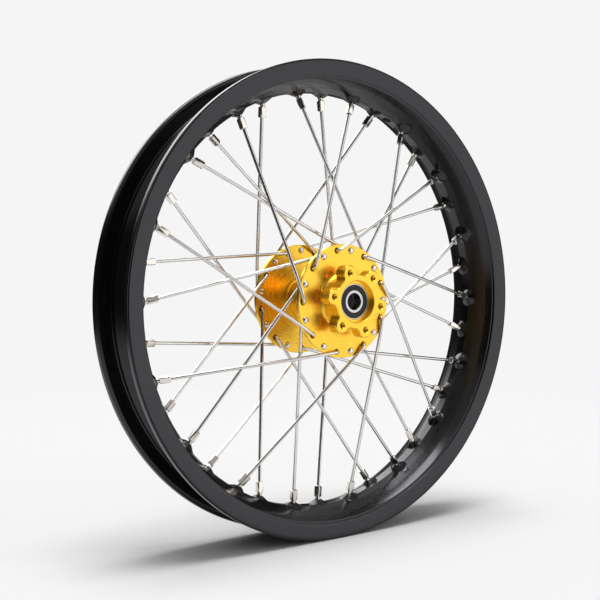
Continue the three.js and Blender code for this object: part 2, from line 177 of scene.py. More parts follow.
def loft(rings, loop=False):
    """Closed bmesh through rings of points. It loops, or ends in a pole or a flat cap."""
    bm = bmesh.new()
    made = [[bm.verts.new(point) for point in ring] for ring in rings]
    pairs = list(zip(made, made[1:]))
    if loop:
        pairs.append((made[-1], made[0]))
    for one, two in pairs:
        count = max(len(one), len(two))
        for index in range(count):
            following = (index + 1) % count
            if len(one) == 1:
                bm.faces.new((one[0], two[index], two[following]))
            elif len(two) == 1:
                bm.faces.new((one[following], one[index], two[0]))
            else:
                bm.faces.new((one[index], two[index], two[following], one[following]))
    if not loop:
        for ring in (made[0], made[-1]):
            if len(ring) > 1:
                bm.faces.new(ring)
    bmesh.ops.recalc_face_normals(bm, faces=bm.faces)
    return bm


def turned_ring(outline, segments=128):
    """Ring about the axle from a closed (radius, y) outline."""
    angles = (360 * k / segments for k in range(segments))
    return loft([[polar(radius, angle, y) for radius, y in outline] for angle in angles], loop=True)


def turned_solid(profile, segments=48):
    """Solid about its own Z axis from a (radius, height) profile that starts and ends on the axis."""
    rings = []
    for radius, height in profile:
        if radius < 1e-6:
            rings.append([Vector((0, 0, height))])
            continue
        turns = (2 * math.pi * k / segments for k in range(segments))
        rings.append([Vector((radius * math.cos(turn), radius * math.sin(turn), height)) for turn in turns])
    return loft(rings)


def circle(centre, axis, side_way, radius, sides):
    """Ring of points about an axis, starting from a fixed side so that rings line up."""
    other = axis.cross(side_way).normalized()
    first = other.cross(axis).normalized()
    turns = (2 * math.pi * k / sides for k in range(sides))
    return [centre + radius * (math.cos(turn) * first + math.sin(turn) * other) for turn in turns]


def placing(origin, along):
    """Matrix that puts a piece's own Z axis along a direction at a point."""
    return Matrix.Translation(origin) @ along.to_track_quat("Z", "Y").to_matrix().to_4x4()


def joined(pieces):
    """One bmesh from several (bmesh, matrix) pairs that don't touch. It frees them."""
    whole = bmesh.new()
    for bm, matrix in pieces:
        part = bpy.data.meshes.new("part")
        bm.to_mesh(part)
        part.transform(matrix)
        whole.from_mesh(part)
        bpy.data.meshes.remove(part)
    return whole


def new_object(name, bm):
    """Object in metres from a bmesh in millimetres."""
    mesh = bpy.data.meshes.new(name)
    bm.to_mesh(mesh)
    bm.free()
    mesh.transform(Matrix.Scale(MM, 4))
    piece = bpy.data.objects.new(name, mesh)
    bpy.context.scene.collection.objects.link(piece)
    return piece


def combine(piece, tool, operation):
    """Adds a tool object to a piece, or cuts it away, and removes the tool."""
    modifier = piece.modifiers.new(operation, "BOOLEAN")
    modifier.object = tool
    modifier.operation = operation
    modifier.solver = "MANIFOLD"
    depsgraph = bpy.context.evaluated_depsgraph_get()
    result = bpy.data.meshes.new_from_object(piece.evaluated_get(depsgraph))
    piece.modifiers.clear()
    old_meshes = (piece.data, tool.data)
    piece.data = result
    bpy.data.objects.remove(tool)
    for mesh in old_meshes:
        bpy.data.meshes.remove(mesh)


def finish_piece(piece, material, body, nodes):
    """Smooths a piece by angle, gives it its material and hands it to its body."""
    mesh = piece.data
    mesh.materials.clear()
    mesh.materials.append(material)
    mesh.shade_smooth()
    mesh.set_sharp_from_angle(angle=math.radians(SHARP_ANGLE))
    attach(piece, body)
    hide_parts(*nodes)
    return piece


# ---- Materials ----------------------------------------------------------------------------------

class Surface:
    """A Principled material with short calls for its texture nodes."""

    def __init__(self, name, colour, metallic, roughness):
        self.material = bpy.data.materials.new(name)
        self.material.use_nodes = True
        self.nodes = self.material.node_tree.nodes
        self.links = self.material.node_tree.links
        self.shader = self.nodes["Principled BSDF"]
        self.shader.inputs["Base Color"].default_value = (*colour, 1)
        self.shader.inputs["Metallic"].default_value = metallic
        self.shader.inputs["Roughness"].default_value = roughness
        self.place = self.nodes.new("ShaderNodeTexCoord").outputs["Object"]

    def math(self, operation, one, two=None):
        """Math node on one or two values, each a number or another node's output."""
        node = self.nodes.new("ShaderNodeMath")
        node.operation = operation
        for socket, value in zip(node.inputs, (one, two)):
            if isinstance(value, (int, float)):
                socket.default_value = value
            elif value is not None:
                self.links.new(value, socket)
        return node.outputs[0]

    def axis_distance(self):
        """Distance of a point from the axle, and its place along it."""
        split = self.nodes.new("ShaderNodeSeparateXYZ")
        self.links.new(self.place, split.inputs[0])
        squares = [self.math("POWER", split.outputs[k], 2.0) for k in ("X", "Z")]
        return self.math("SQRT", self.math("ADD", *squares)), split.outputs["Y"]

    def noise(self, scale, detail=3.0, vector=None):
        """Noise over the object's own coordinates, or over another vector."""
        node = self.nodes.new("ShaderNodeTexNoise")
        node.inputs["Scale"].default_value = scale
        node.inputs["Detail"].default_value = detail
        self.links.new(vector or self.place, node.inputs["Vector"])
        return node.outputs["Fac"]

    def turning_lines(self, scale):
        """Noise that only changes with the distance from the axle and along it, as tool marks do."""
        distance, along = self.axis_distance()
        mix = self.nodes.new("ShaderNodeCombineXYZ")
        self.links.new(distance, mix.inputs["X"])
        self.links.new(along, mix.inputs["Y"])
        return self.noise(scale, 2.0, mix.outputs[0])

    def drawn_lines(self, scale):
        """Noise stretched along a wire, from the wire's own UV run."""
        source = self.nodes.new("ShaderNodeUVMap")
        source.uv_map = "run"
        stretch = self.nodes.new("ShaderNodeMapping")
        stretch.inputs["Scale"].default_value = (scale, 1.0, 1.0)
        self.links.new(source.outputs[0], stretch.inputs["Vector"])
        return self.noise(1.0, 2.0, stretch.outputs[0])

    def spread(self, factor, low, high):
        """Noise, which mostly runs from 0.3 to 0.7, stretched to run from low to high."""
        node = self.nodes.new("ShaderNodeMapRange")
        node.inputs["From Min"].default_value = 0.3
        node.inputs["From Max"].default_value = 0.7
        node.inputs["To Min"].default_value = low
        node.inputs["To Max"].default_value = high
        self.links.new(factor, node.inputs["Value"])
        return node.outputs[0]

    def vary_roughness(self, factor, low, high):
        """Roughness that follows a factor."""
        self.links.new(self.spread(factor, low, high), self.shader.inputs["Roughness"])

    def vary_colour(self, factor, low, high):
        """Base colour that follows a factor from one colour to another."""
        ramp = self.nodes.new("ShaderNodeValToRGB")
        for element, place, colour in zip(ramp.color_ramp.elements, (0.3, 0.7), (low, high)):
            element.position = place
            element.color = (*colour, 1)
        self.links.new(factor, ramp.inputs[0])
        self.links.new(ramp.outputs[0], self.shader.inputs["Base Color"])

    def bump(self, layers):
        """Stacks (factor, depth in metres, strength) layers of bump."""
        normal = None
        for factor, depth, strength in layers:
            node = self.nodes.new("ShaderNodeBump")
            node.inputs["Distance"].default_value = depth
            node.inputs["Strength"].default_value = strength
            self.links.new(factor, node.inputs["Height"])
            if normal is not None:
                self.links.new(normal, node.inputs["Normal"])
            normal = node.outputs[0]
        self.links.new(normal, self.shader.inputs["Normal"])


def black_anodised():
    """Glossy black anodising over a fine blasted surface, with faint lines that run round the rim."""
    surface = Surface("black_anodised", (0.004, 0.004, 0.0048), 0.0, 0.2)
    surface.shader.inputs["Specular IOR Level"].default_value = 0.5
    surface.shader.inputs["Specular Tint"].default_value = (0.95, 0.94, 1.0, 1)
    surface.vary_colour(surface.noise(38, 4), (0.0035, 0.0035, 0.004), (0.005, 0.005, 0.0058))
    surface.vary_roughness(surface.noise(160, 4), 0.17, 0.22)
    surface.bump([(surface.turning_lines(900), 0.00003, 0.2), (surface.noise(2600, 2), 0.00002, 0.25)])
    return surface.material


def gold_anodised():
    """Gold dye over machined aluminium, with the lathe's fine circular marks."""
    surface = Surface("gold_anodised", (0.95, 0.58, 0.06), 0.9, 0.33)
    surface.vary_colour(surface.noise(30, 3), (0.93, 0.565, 0.054), (0.97, 0.6, 0.066))
    surface.vary_roughness(surface.turning_lines(700), 0.23, 0.33)
    surface.bump([(surface.turning_lines(1500), 0.00004, 0.5), (surface.noise(3000, 2), 0.00003, 0.35)])
    return surface.material


def stainless_wire():
    """Bright drawn wire, with long fine lines from the die."""
    surface = Surface("stainless_wire", (0.74, 0.72, 0.70), 1.0, 0.18)
    lines = surface.drawn_lines(60)
    surface.vary_roughness(lines, 0.12, 0.26)
    surface.bump([(lines, 0.00003, 0.5)])
    return surface.material


def plated_nipple():
    """Nickel plate over a milled blank."""
    surface = Surface("nickel_plate", (0.74, 0.70, 0.65), 1.0, 0.16)
    surface.vary_roughness(surface.noise(900, 3), 0.1, 0.2)
    surface.bump([(surface.noise(1400, 2), 0.00001, 0.15)])
    return surface.material


def ground_steel():
    """Bearing steel with circular grinding marks."""
    surface = Surface("ground_steel", (0.52, 0.51, 0.52), 1.0, 0.2)
    surface.vary_roughness(surface.turning_lines(1800), 0.14, 0.28)
    surface.bump([(surface.turning_lines(2600), 0.00003, 0.5)])
    return surface.material


def seal_rubber():
    """Matte moulded rubber."""
    surface = Surface("seal_rubber", (0.018, 0.017, 0.018), 0.0, 0.55)
    surface.vary_roughness(surface.noise(700, 3), 0.48, 0.64)
    surface.bump([(surface.noise(2500, 3), 0.00004, 0.6)])
    return surface.material


def bare_aluminium():
    """Turned aluminium, left bare."""
    surface = Surface("bare_aluminium", (0.62, 0.63, 0.64), 1.0, 0.34)
    surface.vary_roughness(surface.turning_lines(900), 0.28, 0.42)
    surface.bump([(surface.turning_lines(1600), 0.00005, 0.6)])
    return surface.material


BLACK = black_anodised()
GOLD = gold_anodised()
WIRE = stainless_wire()
NICKEL = plated_nipple()
STEEL = ground_steel()
RUBBER = seal_rubber()
ALUMINIUM = bare_aluminium()


# ---- Lacing -------------------------------------------------------------------------------------

class SpokeRun:
    """Where one spoke runs, from its head in the hub to its nipple in the rim."""

    def __init__(self, spoke_set, index):
        label, side, outside, first_angle, lean, rim_offset = spoke_set
        self.node = f"spoke_{label}_{index + 1}"
        self.side = side
        self.outside = outside
        self.hub_angle = first_angle + index * 360 / SPOKES_PER_SET
        rim_angle = self.hub_angle + lean * CROSS_ANGLE + RIM_HOLE_PHASE
        wire_y = FLANGE_FACE + OUTER_STAND_OFF if outside else FLANGE_INNER_FACE - INNER_STAND_OFF
        self.head_face = side * (FLANGE_INNER_FACE if outside else FLANGE_FACE)
        self.head_way = side * (-1 if outside else 1)
        self.elbow = polar(HUB_HOLE_CIRCLE, self.hub_angle, side * wire_y)
        self.rim_hole = polar(RIM_HOLE_RADIUS, rim_angle, side * rim_offset)
        self.along = (self.rim_hole - self.elbow).normalized()
        self.nipple_end = self.at_radius(NIPPLE_END_RADIUS)

    def at_radius(self, radius):
        """Point of the spoke's line at a radius from the axle, from the quadratic for its length."""
        square = self.along.x ** 2 + self.along.z ** 2
        slope = 2 * (self.elbow.x * self.along.x + self.elbow.z * self.along.z)
        offset = self.elbow.x ** 2 + self.elbow.z ** 2 - radius ** 2
        length = (-slope + math.sqrt(slope * slope - 4 * square * offset)) / (2 * square)
        return self.elbow + self.along * length


RUNS = [SpokeRun(spoke_set, index) for spoke_set in SPOKE_SETS for index in range(SPOKES_PER_SET)]


# ---- Rim ----------------------------------------------------------------------------------------

def rim_outline():
    """Section of the rim as (radius, y) points.

    Each half runs from the well over the ridge, the bead seat, the rounded lip, the step at the rim's
    edge, the side face and the groove inside it to the wall that faces the hub.
    """
    half = [
        (WELL_FLOOR, 8.5, 3.0),
        (201.8, 15.2, 1.0),
        (BEAD_SEAT + BEAD_RIDGE, 16.8, 0.9),
        (BEAD_SEAT + BEAD_RIDGE, 18.3, 0.9),
        (BEAD_SEAT - 0.4, 19.6, 0.8),
        (BEAD_SEAT, BEAD_SEAT_END, 1.2),
        (RIM_EDGE, BEAD_SEAT_END, LIP_ROUNDING),
        (RIM_EDGE, 30.5, 0.4),
        (216.0, 30.6, 0.2),
        (215.6, 30.0, 0.2),
        (215.1, RIM_HALF, 0.3),
        (201.6, 28.9, 0.5),
        (202.6, 28.0, 0.2),
        (201.9, 27.2, 0.2),
        (200.2, 26.9, 0.8),
        (196.7, 20.8, 6.0),
        (192.6, 11.5, 8.0),
        (RIM_UNDERSIDE, 4.5, 3.0),
    ]
    other_half = [(radius, -y, fillet) for radius, y, fillet in reversed(half)]
    outline = rounded_outline(other_half + half)

    def longest(one, two):
        near_dimples = max(abs(one.y), abs(two.y)) < DIMPLED_HALF and max(one.x, two.x) < DIMPLED_RADIUS
        return 0.85 if near_dimples else 4.0

    return subdivided(outline, longest)


def dimple_shift(point, run):
    """How far a dimple pushes a point of the rim's wall towards the hub, along its spoke's line."""
    reach = point - run.rim_hole
    away = (reach - run.along * reach.dot(run.along)).length
    middle_of_wall = (RIM_UNDERSIDE + WELL_FLOOR) / 2 + abs(point.y) * 0.25
    faces_hub = math.hypot(point.x, point.z) < middle_of_wall
    radius = DIMPLE_RADIUS if faces_hub else WELL_DIMPLE_RADIUS
    height = DIMPLE_HEIGHT if faces_hub else WELL_DIMPLE_DEPTH
    share = min(away / radius, 1.0)
    return run.along * -height * (1 - share * share) ** DIMPLE_SHARPNESS


def rim_angles():
    """Angles of the rim's sections, closer together at each dimple. Each comes with its spoke's run."""
    by_angle = {math.degrees(math.atan2(run.rim_hole.z, run.rim_hole.x)) % 360: run for run in RUNS}
    offsets = [-5, -4.5, -4, -3.5, -3.1]
    offsets += [-2.8 + 0.225 * step for step in range(25)]
    offsets += [2.9, 3.3, 3.8, 4.4]
    return [(centre + offset, by_angle[centre]) for centre in sorted(by_angle) for offset in offsets]


def rim_hole_cutter():
    """Nipple holes through the dimples, and the valve and rim lock holes with broken edges."""
    pieces = []
    for run in RUNS:
        start = run.at_radius(RIM_UNDERSIDE - 8)
        profile = [(0, 0), (NIPPLE_HOLE_RADIUS, 0), (NIPPLE_HOLE_RADIUS, 18), (0, 18)]
        pieces.append((turned_solid(profile, 32), placing(start, run.along)))
    for angle in HOLE_ANGLES.values():
        start = polar(RIM_UNDERSIDE - 2, angle, 0)
        slope = 2.5
        wide = SMALL_HOLE_RADIUS + slope
        profile = [(0, 0), (wide, 0), (SMALL_HOLE_RADIUS, slope), (SMALL_HOLE_RADIUS, 9), (0, 9)]
        pieces.append((turned_solid(profile), placing(start, polar(1, angle, 0))))
    return new_object("rim_hole_cutter", joined(pieces))


def make_rim():
    """The rim's section carried round the wheel, dimpled at each spoke and then drilled."""
    outline = rim_outline()
    rings = []
    for angle, run in rim_angles():
        ring = []
        for radius, y in outline:
            point = polar(radius, angle, y)
            if abs(y) < DIMPLED_HALF and radius < DIMPLED_RADIUS:
                point += dimple_shift(point, run)
            ring.append(point)
        rings.append(ring)
    rim = new_object("rim_body", loft(rings, loop=True))
    combine(rim, rim_hole_cutter(), "DIFFERENCE")
    finish_piece(rim, BLACK, "wheel", ["rim"])


def make_bead_knurl():
    """Fine ridges rolled across both bead seats, which stop the tyre creeping."""
    low, high, half_width, taper = BEAD_SEAT - 0.9, BEAD_SEAT + 0.12, 0.09, 0.3
    corners = [
        (low, 0.6, KNURL_START),
        (low, 0.6, KNURL_END),
        (high, 0.35, KNURL_END - taper),
        (high, 0.35, KNURL_START + taper),
    ]
    bm = bmesh.new()
    for side in (-1, 1):
        for index in range(KNURL_COUNT):
            angle = index * 360 / KNURL_COUNT
            rows = []
            for way in (-1, 1):
                places = (polar(radius, angle + way * half_width * share, side * y)
                          for radius, share, y in corners)
                rows.append([bm.verts.new(place) for place in places])
            bm.faces.new(rows[0])
            bm.faces.new(reversed(rows[1]))
            for k in range(4):
                following = (k + 1) % 4
                bm.faces.new((rows[0][k], rows[1][k], rows[1][following], rows[0][following]))
    bmesh.ops.recalc_face_normals(bm, faces=bm.faces)
    knurl = new_object("bead_seat_knurl", bm)
    finish_piece(knurl, BLACK, "wheel", ["rim"])


# ---- Hub ----------------------------------------------------------------------------------------

def hub_body():
    """Barrel, flanges and bosses, turned about the axle, without bores."""
    flange = [
        (COLLAR_RADIUS, COLLAR_FACE, 0.5),
        (COLLAR_RADIUS, FLANGE_FACE, 4.0),
        (FLANGE_RADIUS, FLANGE_FACE, 0.45),
        (FLANGE_RADIUS, FLANGE_INNER_FACE, 0.45),
        (INNER_BOSS_RADIUS, FLANGE_INNER_FACE, 0.9),
        (INNER_BOSS_RADIUS, INNER_BOSS_END, 0.5),
        (BARREL_RADIUS, INNER_BOSS_END - 0.2, 0.9),
    ]
    core, core_face = 22.0, HUB_HALF - 1  # inside the lug plate, which is joined on later
    disc_end = [(0, core_face, 0), (core, core_face, 0), (core, COLLAR_FACE, 0)]
    plain_end = [(0, HUB_HALF, 0), (PLAIN_END_RADIUS, HUB_HALF, 0.8), (PLAIN_END_RADIUS, COLLAR_FACE, 1.0)]
    disc_side = [(radius, -y, fillet) for radius, y, fillet in disc_end + flange]
    plain_side = list(reversed(plain_end + flange))
    profile = rounded_outline(disc_side + plain_side, closed=False)
    solid = turned_solid([(radius, -y) for radius, y in profile], 256)
    bmesh.ops.rotate(solid, verts=solid.verts, matrix=Matrix.Rotation(math.pi / 2, 3, "X"))
    return new_object("hub_body", solid)


def lug_outline(inset):
    """Outline of the disc mount, six round lugs blended into a round web, moved inwards by an inset."""
    lug, web, fillet = LUG_RADIUS - inset, LUG_WEB - inset, LUG_FILLET + inset
    reach = web + fillet
    spread = math.acos((LUG_CIRCLE ** 2 + reach ** 2 - (lug + fillet) ** 2) / (2 * LUG_CIRCLE * reach))
    fillet_centre = Vector((math.cos(spread), math.sin(spread))) * reach
    lug_centre = Vector((LUG_CIRCLE, 0))
    to_lug = lug_centre - fillet_centre
    lug_end = math.atan2(-to_lug.y, -to_lug.x)
    fillet_start = math.atan2(to_lug.y, to_lug.x)
    fillet_end = math.atan2(-fillet_centre.y, -fillet_centre.x)
    middle_of_gap = math.pi / LUG_COUNT
    arcs = [
        (lug_centre, lug, 0.0, lug_end, 14),
        (fillet_centre, fillet, fillet_start, fillet_end, 10),
        (Vector((0, 0)), web, spread, middle_of_gap, 3),
    ]
    half = [lug_centre + Vector((lug, 0))]
    for centre, radius, start, end, pieces in arcs:
        for step in range(1, pieces + 1):
            turn = start + (end - start) * step / pieces
            half.append(centre + radius * Vector((math.cos(turn), math.sin(turn))))
    half.pop()  # the outline runs straight across the middle of the gap
    mirrored = [Vector((p.x, -p.y)) for p in reversed(half[1:])]
    one_lug = mirrored + half
    points = []
    for index in range(LUG_COUNT):
        turn = Matrix.Rotation(math.radians(LUG_FIRST_ANGLE + index * 360 / LUG_COUNT), 2)
        points.extend(turn @ point for point in one_lug)
    return points


def lug_plate():
    """The disc mount, with its outer edges chamfered."""
    front, back = -HUB_HALF, LUG_DEPTH - HUB_HALF
    levels = [(0.75, front), (0.0, front + 0.75), (0.0, back - 0.4), (0.4, back)]
    rings = [[Vector((p.x, y, p.y)) for p in lug_outline(inset)] for inset, y in levels]
    return new_object("lug_plate", loft(rings))


def bore_cutter():
    """Everything that is bored out on the axle: tube, bearing seats and the recesses outside them."""
    mouth, over = 0.6, 1.0
    half = [
        (TUBE_BORE, SEAT_START),
        (SEAT_RADIUS, SEAT_START),
        (SEAT_RADIUS, LEDGE),
        (COUNTERBORE, LEDGE),
        (COUNTERBORE, HUB_HALF - mouth),
        (COUNTERBORE + mouth + over, HUB_HALF + over),
        (0, HUB_HALF + over),
    ]
    profile = [(radius, -y) for radius, y in reversed(half)] + half
    solid = turned_solid(profile, 192)
    bmesh.ops.rotate(solid, verts=solid.verts, matrix=Matrix.Rotation(-math.pi / 2, 3, "X"))
    return solid


def tapped_hole():
    """Cutter for an M6 hole right through a lug: countersinks and thread, along its own Z axis."""
    profile = [(0, -1), (4.0, -1), (2.55, 0.55)]
    pitch = 1.0
    for turn in range(10):
        depth = 0.7 + turn * pitch
        profile += [(2.5, depth), (2.95, depth + pitch * 0.45), (2.5, depth + pitch * 0.9)]
    end = LUG_DEPTH + 1
    profile += [(2.55, LUG_DEPTH - 0.5), (3.2, LUG_DEPTH + 0.2), (3.2, end), (0, end)]
    return turned_solid(profile, 28)


def spoke_hole():
    """Cutter for one spoke hole, countersunk on both faces of its flange, centred on its own Z axis."""
    half = FLANGE_THICKNESS / 2
    bore, sink, depth, over = 2.3, 3.05, 0.7, 1.0
    slope = (sink - bore) / depth
    side = [(bore, half - depth), (sink + slope * over, half + over)]
    profile = [(0, -half - over)] + [(r, -z) for r, z in reversed(side)] + side + [(0, half + over)]
    return turned_solid(profile, 28)


def hub_cutter():
    """Everything that is cut from the hub: its bores, 36 spoke holes and six tapped holes."""
    along_axle = Vector((0, 1, 0))
    pieces = [(bore_cutter(), Matrix.Identity(4))]
    for run in RUNS:
        middle = polar(HUB_HOLE_CIRCLE, run.hub_angle, run.side * (FLANGE_FACE - FLANGE_THICKNESS / 2))
        pieces.append((spoke_hole(), placing(middle, along_axle)))
    for index in range(LUG_COUNT):
        face = polar(LUG_CIRCLE, LUG_FIRST_ANGLE + index * 360 / LUG_COUNT, -HUB_HALF)
        pieces.append((tapped_hole(), placing(face, along_axle)))
    return new_object("hub_cutter", joined(pieces))


def make_hub():
    """The hub as the single machined piece that it is."""
    hub = hub_body()
    combine(hub, lug_plate(), "UNION")
    combine(hub, hub_cutter(), "DIFFERENCE")
    finish_piece(hub, GOLD, "wheel", ["hub_shell", "hub_disc_mount", "hub_plain_end"])


# ---- Spokes and nipples -------------------------------------------------------------------------

def spoke_path(run):
    """Centre line of a wire: through the flange, round the elbow, then straight into the nipple.

    An outer wire's elbow beds down on the flange, and the wire bows from there back to its straight line.
    """
    start = polar(HUB_HOLE_CIRCLE, run.hub_angle, run.head_face)
    sink = OUTER_STAND_OFF - ELBOW_STAND_OFF if run.outside else 0.0
    elbow = run.elbow - Vector((0, run.side * sink, 0))
    leaving = (run.elbow + run.along * FLANGE_EDGE_RUN - elbow).normalized()
    inwards = (start - elbow).normalized()
    bend = inwards.angle(leaving)
    reach = BEND_RADIUS / math.tan(bend / 2)
    centre = elbow + (inwards + leaving).normalized() * (BEND_RADIUS / math.sin(bend / 2))
    first = elbow + inwards * reach - centre
    axis = first.cross(elbow + leaving * reach - centre).normalized()
    sweep, steps = math.pi - bend, 8
    arc = [centre + Matrix.Rotation(sweep * k / steps, 3, axis) @ first for k in range(steps + 1)]
    bow = []
    bow_length, bow_steps = 2 * FLANGE_EDGE_RUN, 7
    for step in range(1, bow_steps + 1):
        share = step / bow_steps
        lift = sink * (1 - share) ** 2
        bow.append(run.elbow + run.along * (bow_length * share) - Vector((0, run.side * lift, 0)))
    return [start] + arc + bow + [run.nipple_end + run.along * 3.0]


def wire_mesh(run, sides=20):
    """Wire with its domed head, and a UV run along it for the drawn lines."""
    path = spoke_path(run)
    head_way = Vector((0, run.head_way, 0))
    side_way = run.along.cross(head_way).normalized()
    dome_base, dome_height = 0.35, 1.2
    head = []
    for turn in (math.radians(angle) for angle in (72, 54, 36, 18, 0)):
        head.append((HEAD_RADIUS * math.cos(turn), dome_base + dome_height * math.sin(turn)))
    head += [(HEAD_RADIUS, 0.0), (HEAD_RADIUS - 0.2, -0.25), (WIRE_RADIUS, -1.1)]
    rings = [[path[0] + head_way * (dome_base + dome_height)]]
    for radius, height in head:
        rings.append(circle(path[0] + head_way * height, -head_way, side_way, radius, sides))
    for before, point, after in zip(path, path[1:], path[2:] + path[-1:]):
        rings.append(circle(point, (after - before).normalized(), side_way, WIRE_RADIUS, sides))
    bm = loft(rings)
    uv = bm.loops.layers.uv.new("run")
    for face in bm.faces:
        for loop in face.loops:
            spot = loop.vert.co
            length = (spot - run.elbow).dot(run.along)
            out = spot - run.elbow - run.along * length
            turn = math.atan2(out.dot(side_way), out.dot(side_way.cross(run.along)))
            loop[uv].uv = (turn / (2 * math.pi), length * 0.02)
    return bm


def nipple_ring(height, radius, square=0.0, sides=40):
    """Ring of the nipple at a height: round at square 0, and a square with rounded corners at square 1."""
    ring = []
    for k in range(sides):
        turn = 2 * math.pi * (k + 0.5) / sides
        cos, sin = math.cos(turn), math.sin(turn)
        boxy = radius / (abs(cos) ** 7 + abs(sin) ** 7) ** (1 / 7)
        reach = radius + (boxy - radius) * square
        ring.append(Vector((reach * cos, reach * sin, height)))
    return ring


def nipple_template():
    """Nipple about its own Z axis: countersunk end, square drive, neck, round shank and slotted head."""
    flat, shank = 2.75, 2.4
    rings = [[Vector((0, 0, 1.3))]]
    rings += [nipple_ring(1.3, 1.75), nipple_ring(0.0, 2.05), nipple_ring(0.0, 2.35, 0.6)]
    rings += [nipple_ring(0.35, flat, 0.92), nipple_ring(0.7, flat, 1.0), nipple_ring(9.3, flat, 1.0)]
    rings += [nipple_ring(9.6, flat, 0.8), nipple_ring(9.9, 2.2), nipple_ring(10.5, 2.2)]
    rings += [nipple_ring(10.8, shank), nipple_ring(16.0, shank)]
    rings += [nipple_ring(16.9, 3.9), nipple_ring(17.6, 4.0)]
    rings += [nipple_ring(18.3, 3.6), nipple_ring(18.8, 2.4)]
    rings += [[Vector((0, 0, 19.0))]]
    nipple = new_object("nipple_template", loft(rings))
    slot = bmesh.new()
    slot_place = Matrix.Translation((0, 0, 19)) @ Matrix.Diagonal((10, 1.3, 2.4, 1))
    bmesh.ops.create_cube(slot, size=1, matrix=slot_place)
    combine(nipple, new_object("nipple_slot", slot), "DIFFERENCE")
    return nipple


def make_spokes():
    """36 wires, each with its own nipple turned a little differently from the next."""
    template = nipple_template()
    for run in RUNS:
        label = run.node.removeprefix("spoke_")
        wire = new_object(f"spoke_wire_{label}", wire_mesh(run))
        finish_piece(wire, WIRE, "wheel", [run.node])
        nipple = template.copy()
        nipple.data = template.data.copy()
        nipple.name = f"nipple_{label}"
        twist = Matrix.Rotation(math.radians(run.hub_angle * 1.7), 4, "Z")
        nipple.data.transform(placing(run.nipple_end * MM, run.along) @ twist)
        bpy.context.scene.collection.objects.link(nipple)
        finish_piece(nipple, NICKEL, "wheel", [run.node])
    bpy.data.objects.remove(template)


# ---- Bearings -----------------------------------------------------------------------------------

def raceway(radius, way, groove=2.42):
    """Ball track in a ring's wall: an arc as (radius, y) points, from +y to -y."""
    depth = 0.95
    half_angle = math.acos(1 - depth / groove)
    centre = radius + way * (depth - groove)
    turns = (half_angle * (1 - k / 5) for k in range(11))
    return [Vector((centre + way * groove * math.cos(turn), groove * math.sin(turn))) for turn in turns]


def outer_ring():
    """Outer ring: a ball track inside, and a step at each end for the seal."""
    step, outside = 14.9, 16.0
    edge = [
        (OUTER_LAND, BEARING_HALF - 1.1, 0.1),
        (step, BEARING_HALF - 1.1, 0.1),
        (step, BEARING_HALF, 0.25),
        (outside, BEARING_HALF, 0.45),
    ]
    other = [(radius, -y, fillet) for radius, y, fillet in reversed(edge)]
    walls = rounded_outline(edge + other, closed=False)
    return turned_ring(walls + list(reversed(raceway(OUTER_LAND, 1))))


def inner_ring():
    """Inner ring: a ball track outside and the axle's bore inside."""
    edge = [(INNER_LAND, 3.0, 0), (INNER_LAND, BEARING_HALF, 0.35), (BORE_RADIUS, BEARING_HALF, 0.5)]
    other = [(radius, -y, fillet) for radius, y, fillet in reversed(edge)]
    walls = rounded_outline(edge + other, closed=False)
    return turned_ring(walls + list(reversed(raceway(INNER_LAND, -1))))


def seal_ring(side):
    """Moulded seal with a raised rim, a shallow channel and a lip on the inner ring."""
    face, back = BEARING_HALF - 0.12, BEARING_HALF - 0.85
    corners = [
        (10.2, back, 0),
        (14.75, back, 0),
        (14.75, face - 0.1, 0.1),
        (14.3, face, 0.15),
        (13.7, face, 0.15),
        (13.4, face - 0.3, 0.15),
        (11.8, face - 0.3, 0.15),
        (11.5, face - 0.05, 0.15),
        (10.7, face - 0.05, 0.15),
        (10.2, face - 0.35, 0.1),
    ]
    return turned_ring(rounded_outline([(radius, side * y, fillet) for radius, y, fillet in corners]))


def ball_set():
    """Nine balls in a pressed cage that bulges round each of them."""
    turns = (math.pi * k / 16 for k in range(17))
    profile = [(BALL_RADIUS * math.sin(turn), -BALL_RADIUS * math.cos(turn)) for turn in turns]
    spacing = 360 / BALL_COUNT
    pieces = []
    for index in range(BALL_COUNT):
        place = polar(BALL_CIRCLE, 90 + index * spacing, 0)
        pieces.append((turned_solid(profile, 32), Matrix.Translation(place)))
    clearance, flat, thickness, half_width = 0.12, 0.04, 0.35, 1.0
    for side in (-1, 1):
        rings = []
        for angle in range(360):
            from_ball = abs((angle - 90 + spacing / 2) % spacing - spacing / 2)
            arc = math.radians(from_ball) * BALL_CIRCLE
            low = max(flat, math.sqrt(max((BALL_RADIUS + clearance) ** 2 - arc ** 2, 0)))
            high = low + thickness
            section = [(-half_width, low), (half_width, low), (half_width, high), (-half_width, high)]
            rings.append([polar(BALL_CIRCLE + across, angle, side * y) for across, y in section])
        pieces.append((loft(rings, loop=True), Matrix.Identity(4)))
    return joined(pieces)


def make_bearings():
    """Both sealed ball bearings. Only the inner rings stay with the axle, and each ball set is a body."""
    for side, label in ((-1, "disc_side"), (1, "plain_side")):
        middle = Matrix.Translation((0, side * BEARING_MIDDLE, 0))
        parts = [
            ("outer_ring", outer_ring(), STEEL, "bearing_steel", "wheel"),
            ("inner_ring", inner_ring(), STEEL, "bearing_steel", "axle_core"),
            ("ball_set", ball_set(), STEEL, "bearing_steel", f"{label}_balls"),
            ("outer_seal", seal_ring(side), RUBBER, "seal_rubber", "wheel"),
            ("inner_seal", seal_ring(-side), RUBBER, "seal_rubber", "wheel"),
        ]
        for part, bm, material, slot, body in parts:
            piece = new_object(f"{label}_{part}_fine", joined([(bm, middle)]))
            finish_piece(piece, material, body, [f"{label}_bearing_{part}"])


